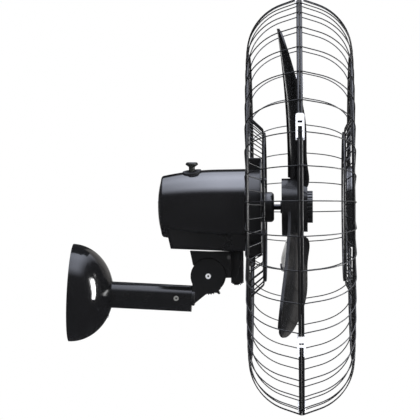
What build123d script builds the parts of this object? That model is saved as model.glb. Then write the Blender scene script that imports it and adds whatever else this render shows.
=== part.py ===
from build123d import *
import os
from math import atan, cos, degrees, pi, radians, sin, sqrt, tan

# Oscillating wall fan: a dome canopy and arm carry a tilting, panning head with a wire cage.
# Row frame: origin at the centre of the wall face, +X away from the wall, +Z up, +Y to the
# fan's left as it looks into the room. Millimetres and degrees.
# Head frame: X along the motor shaft, origin in the cage's rim plane on the shaft axis.

# How far a cut reaches where it runs clear of every piece.
FAR = 400.0

# ---- wall side -------------------------------------------------------------------------
PLATE_SIDE = 84.0
PLATE_T = 3.0
PLATE_CORNER_R = 10.0
WALL_HOLE_SPACING = 62.0
WALL_HOLE_R = 3.25
CABLE_HOLE_R = 8.0
CABLE_HOLE_DROP = 32.0
SOCKET_LENGTH = 22.0
SOCKET_WALL = 3.0
ARM_R = 19.0
ARM_WALL = 1.6
ARM_END_X = 175.0
WIRE_HOLE_X = 36.0
WIRE_HOLE_R = 5.0
CANOPY_R = 70.5
CANOPY_DEPTH = 61.5
CANOPY_WALL = 2.4
CANOPY_WALL_GAP = 0.3
CANOPY_BORE_GAP = 0.35
CANOPY_COLLAR_LENGTH = 10.0
CANOPY_COLLAR_WALL = 3.0
CANOPY_SCREW_R = 2.0
TERMINAL_SIZE = (12.0, 26.0, 14.0)
TERMINAL_Z = 31.0
TERMINAL_SCREW_R = 1.5
TERMINAL_SCREW_SPACING = 16.0

# ---- elbow and tilt joint --------------------------------------------------------------
PIVOT_X = 197.2
PIVOT_Z = 33.8
HEAD_TILT = 3.2
CHEEK_R = 25.4
ELBOW_HALF_WIDTH = 16.0
ELBOW_UNDERSIDE_Z = -9.4
TONGUE_HALF_WIDTH = 10.0
TONGUE_SIDE_GAP = 0.5
SPIGOT_LENGTH = 32.0
ARM_SCREW_X = 153.0
ARM_SCREW_R = 2.5
ARM_SCREW_HEAD_R = 3.6
TILT_BOLT_R = 3.0
TILT_BOLT_HEAD_R = 3.9
TILT_BOLT_HEAD_T = 2.4
TILT_SOCKET_R = 1.6
TILT_WASHER_R = 6.5
TILT_WASHER_T = 1.0
TILT_NUT_R = 5.8
TILT_NUT_T = 5.0
RUNNING_GAP = 0.05
DETENT_TEETH = 5
DETENT_PITCH = 8.0
DETENT_START = -66.0
DETENT_ROOT_R = 24.6
DETENT_TIP_R = 26.8
STOP_LUG_R = 30.3

# ---- neck and pan joint, in the head frame ---------------------------------------------
PIVOT_TO_RIM = 133.0
PIVOT_TO_SHAFT = 98.6
PAN_X = -91.5
PAN_BOSS_R = 9.0
PAN_BOSS_LENGTH = 45.5
PAN_BOSS_EDGE_R = 1.2
NECK_NOSE_R = 12.0
PAN_PIN_R = 5.0
PAN_BUSH_WALL = 1.5
PAN_WASHER_T = 1.5
NECK_TOP_Z = -63.1
NECK_REAR_RISE = 1.2
NECK_RISE_X = -131.5
NECK_HALF_WIDTH = 16.0
NECK_PLATE_T = 5.0
NECK_REAR_X = -159.0
NECK_REAR_FOOT = (-154.8, -82.5)
NECK_FRONT_FOOT_X = -101.1
NECK_FLOOR_Z = -101.1
NECK_SCREW_X = -103.3
NECK_SCREW_Z = -71.8
NECK_SCREW_R = 1.6
NECK_SCREW_HEAD_R = 2.9
CLIP_RING_T = 1.2

# ---- motor -----------------------------------------------------------------------------
SHAFT_R = 4.0
SHAFT_FRONT_X = 15.0
WORM_SHAFT_R = 2.5
STATOR_X = -101.0
STATOR_LENGTH = 32.0
STATOR_R = 40.0
AIR_GAP = 0.5
ROTOR_R = 20.0
WINDING_R = (24.0, 36.5)
WINDING_LENGTH = 10.0
SHIELD_WALL = 4.0
SHIELD_FRONT_X = -59.5
SHIELD_REAR_X = -139.0
SHIELD_END_WALL = 3.5
BEARING_R = 11.0
BEARING_LENGTH = 7.0
BEARING_SEAT_WALL = 3.0
BALL_R = 1.25
BALL_GAP = 0.05
BALLS = 8
MOTOR_SCREW_R = 2.0
MOTOR_SCREW_HEAD_R = 3.5
MOTOR_LUG_R = 4.0
MOTOR_SCREW_PHASE = -20.0

# ---- gearbox ---------------------------------------------------------------------------
KNOB_X = -155.5
GEAR_GAP = 0.1
WORM_R = 4.4
WORM_X = (-171.0, -142.0)
WHEEL_R = 9.5
WHEEL_TEETH = 40
WHEEL_T = 8.0
PINION_R = 3.5
PINION_TEETH = 12
OUTPUT_GEAR_R = 14.4
OUTPUT_GEAR_TEETH = 48
GEAR_T = 5.0
TOOTH_DEPTH = 0.9
CLUTCH_SHAFT_R = 2.5
OUTPUT_SHAFT_R = 4.0
CASE_REAR_X = -177.0
CASE_WALL = 2.5
CASE_HALF_WIDTH = 27.0
CASE_TOP_Z = 18.0
CASE_BOTTOM_Z = -38.0
CRANK_R = 14.5
CRANK_T = 3.0
CRANK_DROP = 7.0
CRANK_PIN_R = 2.5
CRANK_PIN_LENGTH = 3.0
ANCHOR_R = 22.0
ANCHOR_ANGLE = 112.0
LINK_T = 3.0
LINK_HALF_WIDTH = 4.0
LINK_EYE_R = 5.5
LINK_GAP = 0.6
LINK_SCREW_HEAD_R = 4.5
LINK_SCREW_HEAD_T = 2.0

# ---- covers ----------------------------------------------------------------------------
COVER_REAR_X = -205.1
COVER_CORNER_X = -199.0
COVER_CORNER_R = 43.7
COVER_SHOULDER_X = -118.7
COVER_SHOULDER_R = 52.7
COVER_BULGE = 2.05
COVER_FRONT_X = -79.0
COVER_FRONT_R = 53.1
COVER_LIFT = 2.0
COVER_WALL = 2.0
COVER_EDGE_FILLET = 4.0
COVER_SCREW_Y = 18.0
COVER_SCREW_Z = 8.0
COVER_SCREW_R = 1.75
COVER_SCREW_HEAD_R = 3.5
COVER_SCREW_HEAD_T = 1.1
COVER_SCREW_SEAT = 2.0
COVER_POST_R = 4.5
SKIRT_HALF_WIDTH = 33.5
SKIRT_REAR_TOP = (-192.4, -30.0)
SKIRT_REAR_FOOT = (-185.9, -58.7)
SKIRT_FRONT_Z = -63.7
SKIRT_WALL = 2.0
SKIRT_EDGE_FILLET = 5.0
SKIRT_OPENING_R = 30.5
KNOB_CAP_R = 8.9
KNOB_CAP_T = 3.6
KNOB_TOP_Z = 65.1
KNOB_STEM_R = 4.35
KNOB_CONE_T = 3.2
KNOB_STEM_FOOT_Z = 47.0
KNOB_ROD_R = 2.0
COLLAR_HALF_LENGTH = 13.4
COLLAR_HALF_WIDTH = 11.0
COLLAR_RISE = 2.2
COLLAR_BORE_GAP = 0.3
CAPACITOR_SIZE = (33.0, 13.0, 30.0)
DRUM_R = COVER_FRONT_R + COVER_LIFT
DRUM_LUG_R = 71.0
DRUM_LUG_HALF_WIDTH = 15.0
DRUM_LUGS = 2
DRUM_REAR_X = -78.0
EYE_X = -70.0
EYE_Z = -81.5
EYE_R = 4.6
EYE_HOLE_R = 2.2
EYE_T = 4.0
DRUM_WALL = 2.0
DRUM_SCREW_RADIUS = 47.5
DRUM_SCREW_R = 2.5
DRUM_SCREW_HEAD_R = 3.6
DRUM_SCREW_HEAD_T = 7.0
DRUM_SCREW_ANGLE = 36.9
DRUM_FOOT_R = 3.6
NOSE_R = 21.6
NOSE_FRONT_X = -38.0
NOSE_WALL = 2.0
NOSE_FILLET = 5.0
NOSE_SHAFT_GAP = 1.0

# ---- cage ------------------------------------------------------------------------------
CAGE_R = 300.0
CAGE_HALF_DEPTH = 75.5
CAGE_SLOPE = 19.0
CAGE_SHOULDER_R = 73.4
CAGE_FLAT_INNER_R = 132.0
RECESS_R = 112.0
REAR_RECESS_X = -54.0
FRONT_RECESS_X = 65.0
WIRE_R = 0.8
WIRE_BEND_R = 5.0
WIRE_COUNT = 40
WIRE_PHASE = -1.4
RIM_WIRE_R = 2.0
RIM_GAP = 0.1
RING_WIRE_R = 1.5
FLAT_RINGS = (218.0, 184.0, 150.0)
REAR_WIRE_END_R = 60.0
FRONT_WIRE_END_R = 50.0
REAR_DISC_R = (24.0, 69.0)
REAR_DISC_T = 1.5
FRONT_PLATE_R = 56.0
FRONT_PLATE_T = 1.5
FRONT_DISC_R = 58.5
FRONT_DISC_X = 78.0
FRONT_DISC_WALL = 2.0
FRONT_DISC_FILLET = 6.0
CLIP_COUNT = 6
CLIP_PHASE = -21.0
CLIP_LENGTH = 35.0
CLIP_HALF_WIDTH = 5.8
CLIP_WALL = 1.3
CLIP_RING_GAP = 0.3
CLIP_REACH = 5.6
CLIP_WIRE_GAP = 0.4
CLIP_CORNER_R = 3.5
CLIP_SLOT_Y = 3.5
CLIP_SLOT_HEIGHT = 3.5
CLIP_SLOT_HALF_WIDTH = 3.2
CLIP_BAR_HEIGHT = 4.3
CLIP_FORK_HALF_WIDTH = 2.9

# ---- blades ----------------------------------------------------------------------------
BLADES = 3
BLADE_PHASE = 15.3
BLADE_TIP_R = 258.0
BLADE_T = 2.6
BLADE_ROOT_CHORD = 62.0
BLADE_CHORD = 88.0
BLADE_ROOT_DEPTH = 27.0
BLADE_TIP_SLOPE = 0.277
BLADE_SLOPE_FALL = 0.30
BLADE_LIP = 1.8
BLADE_CAMBER = 0.062
BLADE_RAKE = 22.5
BLADE_REAR_X = -17.7
BLADE_SWEEP = 16.0
HUB_R = 41.0
HUB_REAR_X = -27.0
HUB_STEP_X = 3.0
HUB_STEP_R = 36.0
HUB_FRONT_X = 10.0
HUB_WALL = 3.0
HUB_BOSS_R = 9.0
HUB_RIBS = 6
HUB_RIB_T = 2.4
HUB_PIN_R = 1.5
HUB_PIN_LENGTH = 15.0
NUT_R = 23.0
NUT_FRONT_X = 17.5
NUT_RIBS = 24
NUT_RIB_DEPTH = 1.2

# ---- sizes that follow -----------------------------------------------------------------
PAN_PIN_TOP_Z = -46.0
WASHER_TOP_Z = NECK_TOP_Z + PAN_WASHER_T
LINK_LEVEL = CASE_BOTTOM_Z - CRANK_DROP - CRANK_T - CRANK_PIN_LENGTH
PINION_REACH = PINION_R + OUTPUT_GEAR_R + GEAR_GAP
KNOB_Y = -(WORM_R + WHEEL_R + GEAR_GAP)
OUTPUT_Y = KNOB_Y + PINION_REACH
SHIELD_R = STATOR_R + SHIELD_WALL
MOTOR_SCREW_RADIUS = SHIELD_R + 0.5
TUBE_INNER_R = ARM_R - ARM_WALL
RIM_OFFSET = RIM_WIRE_R + RIM_GAP / 2
PIVOT = (-PIVOT_TO_RIM, -PIVOT_TO_SHAFT)
ANCHOR = (PAN_X + ANCHOR_R * cos(radians(ANCHOR_ANGLE)), ANCHOR_R * sin(radians(ANCHOR_ANGLE)))
HEAD = (Pos(PIVOT_X, 0, PIVOT_Z) * Rot(0, -HEAD_TILT, 0)
        * Pos(PIVOT_TO_RIM, 0, PIVOT_TO_SHAFT))


def along(axis, radius, low, high, inner=0.0):
    """A round bar, or a tube, between two stations on the X, Y or Z axis."""
    turn = {"X": Rot(0, 90, 0), "Y": Rot(-90, 0, 0), "Z": Rot(0, 0, 0)}[axis]
    lift = Pos(0, 0, (low + high) / 2)
    bar = Cylinder(radius, high - low)
    if inner:
        bar -= Cylinder(inner, high - low)
    return turn * lift * bar


def block(x, y, z):
    """A box between the low and high station of each axis."""
    size = [high - low for low, high in (x, y, z)]
    middle = [(low + high) / 2 for low, high in (x, y, z)]
    return Pos(*middle) * Box(*size)


def side_plate(outline, half_width):
    """A closed side-view outline of (x, z) points, given its width along Y."""
    face = make_face(Plane.XZ * Polyline(*outline, close=True))
    return extrude(face, half_width, both=True)


def around_x(shape, count, phase=0.0):
    """Equal copies of a shape about the X axis, as a list."""
    return [Rot(phase + i * 360 / count, 0, 0) * shape for i in range(count)]


def cut_all(shape, tools):
    for tool in tools:
        shape -= tool
    return shape


def toothed(tip_r, depth, teeth, low, high):
    """A wheel about the Z axis with straight-sided teeth of the given depth."""
    points = []
    for i in range(teeth):
        for share, radius in ((0.0, tip_r), (0.4, tip_r), (0.6, tip_r - depth), (0.9, tip_r - depth)):
            angle = 2 * pi * (i + share) / teeth
            points.append((radius * cos(angle), radius * sin(angle)))
    face = make_face(Polyline(*points, close=True))
    return Pos(0, 0, low) * extrude(face, high - low)


# ---- wall side -------------------------------------------------------------------------
def wall_bracket():
    plate = block((0, PLATE_T), (-PLATE_SIDE / 2, PLATE_SIDE / 2), (-PLATE_SIDE / 2, PLATE_SIDE / 2))
    plate = fillet(plate.edges().filter_by(Axis.X), PLATE_CORNER_R)
    half = WALL_HOLE_SPACING / 2
    hole = along("X", WALL_HOLE_R, -1, PLATE_T + 1)
    plate = cut_all(plate, [Pos(0, y, z) * hole for y in (-half, half) for z in (-half, half)])
    plate -= Pos(0, 0, -CABLE_HOLE_DROP) * along("X", CABLE_HOLE_R, -1, PLATE_T + 1)
    socket = along("X", ARM_R + SOCKET_WALL, PLATE_T, PLATE_T + SOCKET_LENGTH, ARM_R)
    return plate + socket


def terminal_block():
    length, width, height = TERMINAL_SIZE
    body = block((PLATE_T, PLATE_T + length), (-width / 2, width / 2),
                 (TERMINAL_Z - height / 2, TERMINAL_Z + height / 2))
    return cut_all(body, [Pos(0, y, TERMINAL_Z) * along("X", TERMINAL_SCREW_R, 0, PLATE_T + length + 1)
                          for y in terminal_screw_places()])


def terminal_screw_places():
    return (-TERMINAL_SCREW_SPACING / 2, TERMINAL_SCREW_SPACING / 2)


def terminal_screws():
    high = PLATE_T + TERMINAL_SIZE[0]
    screw = along("X", TERMINAL_SCREW_R, PLATE_T, high) + along("X", 2 * TERMINAL_SCREW_R, high, high + 1.5)
    return [Pos(0, y, TERMINAL_Z) * screw for y in terminal_screw_places()]


def arm_tube():
    tube = along("X", ARM_R, PLATE_T, ARM_END_X, TUBE_INNER_R)
    screw_hole = Pos(ARM_SCREW_X, 0, 0) * along("Y", ARM_SCREW_R, -ARM_R - 1, ARM_R + 1)
    wire_hole = Pos(WIRE_HOLE_X, 0, 0) * along("Z", WIRE_HOLE_R, 0, ARM_R + 1)
    return tube - screw_hole - wire_hole


def canopy_mouth():
    """Where the dome meets the bore for the arm."""
    return CANOPY_DEPTH * sqrt(1 - ((ARM_R + CANOPY_BORE_GAP) / CANOPY_R) ** 2)


def canopy():
    """A dome turned in one piece with the collar that slides on the arm."""
    outer = Ellipse(CANOPY_DEPTH, CANOPY_R)
    inner = Ellipse(CANOPY_DEPTH - CANOPY_WALL, CANOPY_R - CANOPY_WALL)
    bore = ARM_R + CANOPY_BORE_GAP
    mouth = canopy_mouth()
    collar_low = mouth - CANOPY_COLLAR_LENGTH
    collar = Pos((collar_low + CANOPY_DEPTH) / 2, bore + CANOPY_COLLAR_WALL / 2)
    collar *= Rectangle(CANOPY_DEPTH - collar_low, CANOPY_COLLAR_WALL)
    keep = Pos(CANOPY_WALL_GAP + CANOPY_DEPTH / 2, bore + CANOPY_R / 2) * Rectangle(CANOPY_DEPTH, CANOPY_R)
    section = ((outer - inner) + collar) & outer & keep
    screw_hole = Pos(canopy_screw_x(), 0, 0) * along("Z", CANOPY_SCREW_R, -CANOPY_R, -ARM_R)
    return revolve(Plane.XZ * section, Axis.X) - screw_hole


def canopy_screw_x():
    return canopy_mouth() - CANOPY_COLLAR_LENGTH / 2


def canopy_screw():
    """A grub screw whose end is level with the dome."""
    x = canopy_screw_x()
    reach = CANOPY_R * sqrt(1 - (x / CANOPY_DEPTH) ** 2)
    return Pos(x, 0, 0) * along("Z", CANOPY_SCREW_R, -reach, -ARM_R - CANOPY_BORE_GAP)


# ---- elbow and tilt joint --------------------------------------------------------------
def elbow():
    """The casting at the arm's end: a spigot in the tube and two cheeks about the tilt pivot."""
    cheek = Pos(PIVOT_X, 0, PIVOT_Z) * along("Y", CHEEK_R, -ELBOW_HALF_WIDTH, ELBOW_HALF_WIDTH)
    foot_x = ARM_END_X
    web = side_plate([(foot_x, ELBOW_UNDERSIDE_Z), (foot_x + 1.2, ELBOW_UNDERSIDE_Z),
                      (PIVOT_X, PIVOT_Z - CHEEK_R + 1.0), (PIVOT_X, PIVOT_Z),
                      (PIVOT_X - CHEEK_R + 1.0, PIVOT_Z), (foot_x - 3.0, ARM_R),
                      (foot_x, ARM_R)], ELBOW_HALF_WIDTH)
    web -= along("X", 2 * ARM_R, -1, foot_x) - along("X", ARM_R, -1, foot_x)
    web -= along("X", ARM_R, -1, foot_x)
    spigot = along("X", TUBE_INNER_R, foot_x - SPIGOT_LENGTH, foot_x)
    spigot += along("X", ARM_R, foot_x, foot_x + 4.0) & block((0, foot_x + 4), (-ARM_R, ARM_R),
                                                              (ELBOW_UNDERSIDE_Z, ARM_R))
    body = cheek + web + spigot
    slot_r = DETENT_TIP_R + 0.8
    slot_half = TONGUE_HALF_WIDTH + TONGUE_SIDE_GAP
    slot = Pos(PIVOT_X, 0, PIVOT_Z) * along("Y", slot_r, -slot_half, slot_half)
    body -= slot
    body -= block((PIVOT_X, PIVOT_X + 60), (-slot_half, slot_half), (-60, PIVOT_Z + 60))
    body -= Pos(PIVOT_X, 0, PIVOT_Z) * along("Y", TILT_BOLT_R, -60, 60)
    recess = along("Y", TILT_BOLT_HEAD_R, -ELBOW_HALF_WIDTH - 1, -ELBOW_HALF_WIDTH + TILT_BOLT_HEAD_T)
    body -= Pos(PIVOT_X, 0, PIVOT_Z) * recess
    body -= Pos(ARM_SCREW_X, 0, 0) * along("Y", ARM_SCREW_R, -ARM_R - 1, ARM_R + 1)
    body -= along("X", TUBE_INNER_R / 2, 0, foot_x - SPIGOT_LENGTH / 3)
    return body - arm_flat()


def arm_flat():
    """What the cheeks lose along their front edge, where they are cut straight."""
    top = (PIVOT_X + 22.5, PIVOT_Z - 2.0)
    foot = (PIVOT_X + 15.0, PIVOT_Z - 27.0)
    return side_plate([top, foot, (foot[0] + 20, foot[1]), (top[0] + 20, top[1])], ELBOW_HALF_WIDTH + 1)


def arm_screws():
    bar = along("Y", ARM_SCREW_R, -ARM_R - 0.2, -TUBE_INNER_R / 2)
    head = along("Y", ARM_SCREW_HEAD_R, -ARM_R - 1.8, -ARM_R - 0.2)
    head -= along("Y", ARM_SCREW_HEAD_R / 2, -ARM_R - 3, -ARM_R - 0.9)
    screw = Pos(ARM_SCREW_X, 0, 0) * (bar + head)
    return [screw, Rot(180, 0, 0) * screw]


def tilt_bolt():
    start = -ELBOW_HALF_WIDTH
    stop = ELBOW_HALF_WIDTH + TILT_WASHER_T + TILT_NUT_T + 2.0
    bolt = along("Y", TILT_BOLT_R, start + 0.3, stop)
    bolt += along("Y", TILT_BOLT_HEAD_R, start, start + TILT_BOLT_HEAD_T)
    bolt -= along("Y", TILT_SOCKET_R, start - 1, start + TILT_BOLT_HEAD_T * 0.75)
    return Pos(PIVOT_X, 0, PIVOT_Z) * bolt


def tilt_washer():
    low = ELBOW_HALF_WIDTH
    return Pos(PIVOT_X, 0, PIVOT_Z) * along("Y", TILT_WASHER_R, low, low + TILT_WASHER_T, TILT_BOLT_R)


def tilt_nut():
    low = ELBOW_HALF_WIDTH + TILT_WASHER_T
    hexagon = Plane.XZ * (RegularPolygon(TILT_NUT_R, 6) - Circle(TILT_BOLT_R))
    nut = extrude(hexagon, TILT_NUT_T)
    centre = nut.bounding_box().center().Y
    return Pos(PIVOT_X, low + TILT_NUT_T / 2 - centre, PIVOT_Z) * nut


# ---- neck and pan joint, all in the head frame -----------------------------------------
def at_pivot(shape):
    return Pos(PIVOT[0], 0, PIVOT[1]) * shape


def neck_side_outline():
    rear_foot = NECK_REAR_FOOT
    front_x = PAN_X + PAN_BOSS_R * 0.9
    return [(NECK_REAR_X, NECK_TOP_Z + NECK_REAR_RISE), rear_foot, (PIVOT[0], PIVOT[1] - 2),
            (PIVOT[0] + CHEEK_R - 3, NECK_FLOOR_Z), (NECK_FRONT_FOOT_X, NECK_FLOOR_Z),
            (front_x - PAN_BOSS_R, NECK_FLOOR_Z), (front_x - 2, NECK_TOP_Z - 12), (front_x, NECK_TOP_Z),
            (PAN_X - NECK_NOSE_R, NECK_TOP_Z), (NECK_RISE_X, NECK_TOP_Z)]


def neck():
    """The casting between the two joints: a tongue with detent teeth, a top and the pan boss."""
    wide = side_plate(neck_side_outline(), NECK_HALF_WIDTH)
    clear_r = CHEEK_R + 0.8
    wide -= at_pivot(along("Y", clear_r, -NECK_HALF_WIDTH - 1, NECK_HALF_WIDTH + 1))
    room = block((PAN_X - PAN_BOSS_R, 0), (-FAR, FAR), (-FAR, 0))
    wide -= room - Pos(PAN_X, 0, 0) * along("Z", NECK_NOSE_R, -FAR, 0)
    narrow = side_plate(neck_side_outline(), TONGUE_HALF_WIDTH)
    narrow &= block((-FAR, PAN_X), (-FAR, FAR), (-FAR, 0))
    tongue = at_pivot(along("Y", DETENT_ROOT_R, -TONGUE_HALF_WIDTH, TONGUE_HALF_WIDTH))
    body = wide + narrow + tongue + neck_teeth()
    boss_top = NECK_TOP_Z
    body += pan_boss(boss_top - PAN_BOSS_LENGTH, boss_top)
    ear = Pos(*ANCHOR, 0) * along("Z", LINK_EYE_R, boss_top - NECK_PLATE_T, boss_top)
    ear += block((ANCHOR[0] - LINK_EYE_R, ANCHOR[0] + LINK_EYE_R), (0, ANCHOR[1]),
                 (boss_top - NECK_PLATE_T, boss_top))
    body += ear
    bush_r = PAN_PIN_R + PAN_BUSH_WALL
    body -= Pos(PAN_X, 0, 0) * along("Z", bush_r, boss_top - PAN_BOSS_LENGTH - 1, boss_top + 1)
    body -= Pos(*ANCHOR, 0) * along("Z", CRANK_PIN_R, boss_top - NECK_PLATE_T - 1, boss_top + 1)
    body -= at_pivot(along("Y", TILT_BOLT_R + RUNNING_GAP, -40, 40))
    for screw in neck_screws():
        body -= screw
    return body


def pan_boss(low, high):
    """The square block round the pan pin, with its upright edges rounded."""
    boss = block((PAN_X - PAN_BOSS_R, PAN_X + PAN_BOSS_R), (-PAN_BOSS_R, PAN_BOSS_R), (low, high))
    return fillet(boss.edges().filter_by(Axis.Z), PAN_BOSS_EDGE_R)


def neck_teeth():
    """Detent teeth under the tongue, and the larger lug that ends them."""
    half = TONGUE_HALF_WIDTH
    tooth = side_plate([(DETENT_ROOT_R - 2, -1.6), (DETENT_TIP_R, -0.5), (DETENT_TIP_R, 0.5),
                        (DETENT_ROOT_R - 2, 1.6)], half)
    lug = side_plate([(0, -1), (DETENT_ROOT_R, -3.5), (STOP_LUG_R, -1.2), (STOP_LUG_R, 0.6),
                      (0, 6)], half)
    lug_angle = DETENT_START + DETENT_PITCH
    teeth = Rot(0, -lug_angle, 0) * lug
    for i in range(DETENT_TEETH):
        teeth += Rot(0, -(DETENT_START - i * DETENT_PITCH), 0) * tooth
    return at_pivot(teeth)


def neck_screws():
    low = NECK_HALF_WIDTH - 6.0
    screw = along("Y", NECK_SCREW_R, low, NECK_HALF_WIDTH)
    screw += along("Y", NECK_SCREW_HEAD_R, NECK_HALF_WIDTH - 1.0, NECK_HALF_WIDTH + 0.6)
    screw = Pos(NECK_SCREW_X, 0, NECK_SCREW_Z) * screw
    return [screw, mirror(screw, Plane.XZ)]


def at_pan(shape):
    return Pos(PAN_X, 0, 0) * shape


def pan_bush():
    low = NECK_TOP_Z - PAN_BOSS_LENGTH
    return at_pan(along("Z", PAN_PIN_R + PAN_BUSH_WALL, low, NECK_TOP_Z, PAN_PIN_R + RUNNING_GAP))


def pan_washer():
    return at_pan(along("Z", PAN_BOSS_R - 0.5, NECK_TOP_Z, WASHER_TOP_Z - 0.3, PAN_PIN_R + RUNNING_GAP))


def pan_pin():
    foot = NECK_TOP_Z - PAN_BOSS_LENGTH - CLIP_RING_T - 2.0
    pin = along("Z", PAN_PIN_R, foot, PAN_PIN_TOP_Z)
    groove_low = NECK_TOP_Z - PAN_BOSS_LENGTH - CLIP_RING_T - 0.3
    groove = along("Z", PAN_PIN_R + 1, groove_low, groove_low + CLIP_RING_T, PAN_PIN_R - 0.8)
    return at_pan(pin - groove)


def pan_clip():
    low = NECK_TOP_Z - PAN_BOSS_LENGTH - CLIP_RING_T - 0.3
    ring = along("Z", PAN_PIN_R + 2.5, low, low + CLIP_RING_T, PAN_PIN_R - 0.8)
    gap = block((0, 2 * PAN_PIN_R), (-PAN_PIN_R / 2, PAN_PIN_R / 2), (low - 1, low + CLIP_RING_T + 1))
    return at_pan(ring - gap)


def link_rod():
    """The flat rod from its anchor on the neck to the crank; the crank end's joint is open."""
    crank_pin = (KNOB_X, OUTPUT_Y + CRANK_R)
    reach = Vector(crank_pin[0] - ANCHOR[0], crank_pin[1] - ANCHOR[1], 0)
    turn = Vector(1, 0, 0).get_signed_angle(reach)
    bar = block((0, reach.length), (-LINK_HALF_WIDTH, LINK_HALF_WIDTH), (0, LINK_T))
    bar += Pos(0, 0, LINK_T / 2) * Cylinder(LINK_EYE_R, LINK_T)
    bar += Pos(reach.length, 0, LINK_T / 2) * Cylinder(LINK_EYE_R, LINK_T)
    bar -= Cylinder(CRANK_PIN_R + RUNNING_GAP, 4 * LINK_T)
    bar -= Pos(reach.length, 0, 0) * Cylinder(CRANK_PIN_R + RUNNING_GAP, 4 * LINK_T)
    low = LINK_LEVEL - LINK_GAP - LINK_T
    return Pos(*ANCHOR, low) * Rot(0, 0, turn) * bar


def link_screw():
    """The shoulder screw that stands on the neck's ear and carries the link rod."""
    top = LINK_LEVEL - LINK_GAP + 0.3
    screw = along("Z", CRANK_PIN_R, NECK_TOP_Z - NECK_PLATE_T, top)
    screw += along("Z", LINK_SCREW_HEAD_R, top, top + LINK_SCREW_HEAD_T)
    screw += along("Z", LINK_SCREW_HEAD_R - 0.5, NECK_TOP_Z, LINK_LEVEL - LINK_GAP - LINK_T - 0.3)
    return Pos(*ANCHOR, 0) * screw


# ---- motor -----------------------------------------------------------------------------
def bearing_stations():
    front = SHIELD_FRONT_X - SHIELD_END_WALL
    rear = SHIELD_REAR_X + SHIELD_END_WALL
    return ((front - BEARING_LENGTH, front), (rear, rear + BEARING_LENGTH))


def shaft():
    shaft_rear = WORM_X[1]
    bar = along("X", SHAFT_R, shaft_rear, SHAFT_FRONT_X)
    bar += along("X", WORM_SHAFT_R, CASE_REAR_X + 0.5, shaft_rear)
    return bar - hub_pin()


def rotor():
    half = STATOR_LENGTH / 2
    body = along("X", ROTOR_R, STATOR_X - half, STATOR_X + half, SHAFT_R)
    rings = [along("X", ROTOR_R - 1, x, x + 4, SHAFT_R + 6) for x in (STATOR_X - half - 4, STATOR_X + half)]
    return body + rings[0] + rings[1]


def stator_core():
    half = STATOR_LENGTH / 2
    core = along("X", STATOR_R, STATOR_X - half, STATOR_X + half, ROTOR_R + AIR_GAP)
    slot = block((STATOR_X - half - 1, STATOR_X + half + 1), (-2.0, 2.0),
                 (WINDING_R[0] + 1, WINDING_R[1] - 1))
    return cut_all(core, around_x(slot, 16))


def stator_winding():
    half = STATOR_LENGTH / 2
    inner, outer = WINDING_R
    ends = [along("X", outer, STATOR_X + half, STATOR_X + half + WINDING_LENGTH, inner),
            along("X", outer, STATOR_X - half - WINDING_LENGTH, STATOR_X - half, inner)]
    bar = block((STATOR_X - half, STATOR_X + half), (-2.0, 2.0), (inner + 1, outer - 1))
    winding = ends[0] + ends[1]
    for copy in around_x(bar, 16):
        winding += copy
    return winding


def shield(end_x, seat, open_x):
    """A cup-shaped end shield with its bearing seat and four screw lugs."""
    low, high = min(end_x, open_x), max(end_x, open_x)
    cup = along("X", SHIELD_R, low, high, STATOR_R)
    inward = 1 if open_x > end_x else -1
    wall = sorted((end_x, end_x + inward * SHIELD_END_WALL))
    cup += along("X", STATOR_R + 1, wall[0], wall[1], SHAFT_R + 1)
    cup += along("X", BEARING_R + BEARING_SEAT_WALL, seat[0], seat[1], BEARING_R)
    lug = Pos(0, 0, MOTOR_SCREW_RADIUS) * along("X", MOTOR_LUG_R, low, high)
    for copy in around_x(lug, 4, MOTOR_SCREW_PHASE):
        cup += copy - along("X", STATOR_R, low - 1, high + 1)
    hole = Pos(0, 0, MOTOR_SCREW_RADIUS) * along("X", MOTOR_SCREW_R, low - 1, high + 1)
    return cut_all(cup, around_x(hole, 4, MOTOR_SCREW_PHASE))


def front_shield():
    """The shield that also carries the pan pin in a lug beneath it."""
    front, rear = bearing_stations()
    body = shield(SHIELD_FRONT_X, front, STATOR_X)
    lug = at_pan(along("Z", PAN_BOSS_R, WASHER_TOP_Z, -STATOR_R - 1))
    lug -= along("X", STATOR_R + 1, -FAR, 0)
    body += lug
    bore = at_pan(along("Z", PAN_PIN_R, WASHER_TOP_Z - 1, PAN_PIN_TOP_Z))
    body -= bore
    foot_x = (SHIELD_FRONT_X - 8, SHIELD_FRONT_X)
    pilot = Pos(0, 0, DRUM_SCREW_RADIUS) * along("X", DRUM_SCREW_R, foot_x[0], foot_x[1] + 1)
    foot = Pos(0, 0, DRUM_SCREW_RADIUS) * along("X", DRUM_FOOT_R, *foot_x)
    web = block(foot_x, (-DRUM_SCREW_R, DRUM_SCREW_R), (SHIELD_R - 1, DRUM_SCREW_RADIUS))
    for copy in at_cage_screws(foot + web):
        body += copy
    return cut_all(body, at_cage_screws(pilot))


def rear_shield():
    front, rear = bearing_stations()
    return shield(SHIELD_REAR_X, rear, STATOR_X)


def motor_screws():
    low = SHIELD_REAR_X - 2.0
    screw = along("X", MOTOR_SCREW_R, SHIELD_REAR_X, SHIELD_FRONT_X)
    screw += along("X", MOTOR_SCREW_HEAD_R, low, SHIELD_REAR_X)
    return around_x(Pos(0, 0, MOTOR_SCREW_RADIUS) * screw, 4, MOTOR_SCREW_PHASE)


def bearing_parts():
    """Inner rings, outer rings and balls of the two ball bearings."""
    track = (SHAFT_R + BEARING_R) / 2
    inner_r = track - BALL_R - BALL_GAP
    outer_r = track + BALL_R + BALL_GAP
    inner = [along("X", inner_r, a, b, SHAFT_R) for a, b in bearing_stations()]
    outer = [along("X", BEARING_R, a, b, outer_r) for a, b in bearing_stations()]
    balls = []
    for low, high in bearing_stations():
        ball = Pos((low + high) / 2, 0, track) * Sphere(BALL_R)
        balls += around_x(ball, BALLS)
    return inner, outer, balls


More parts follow.
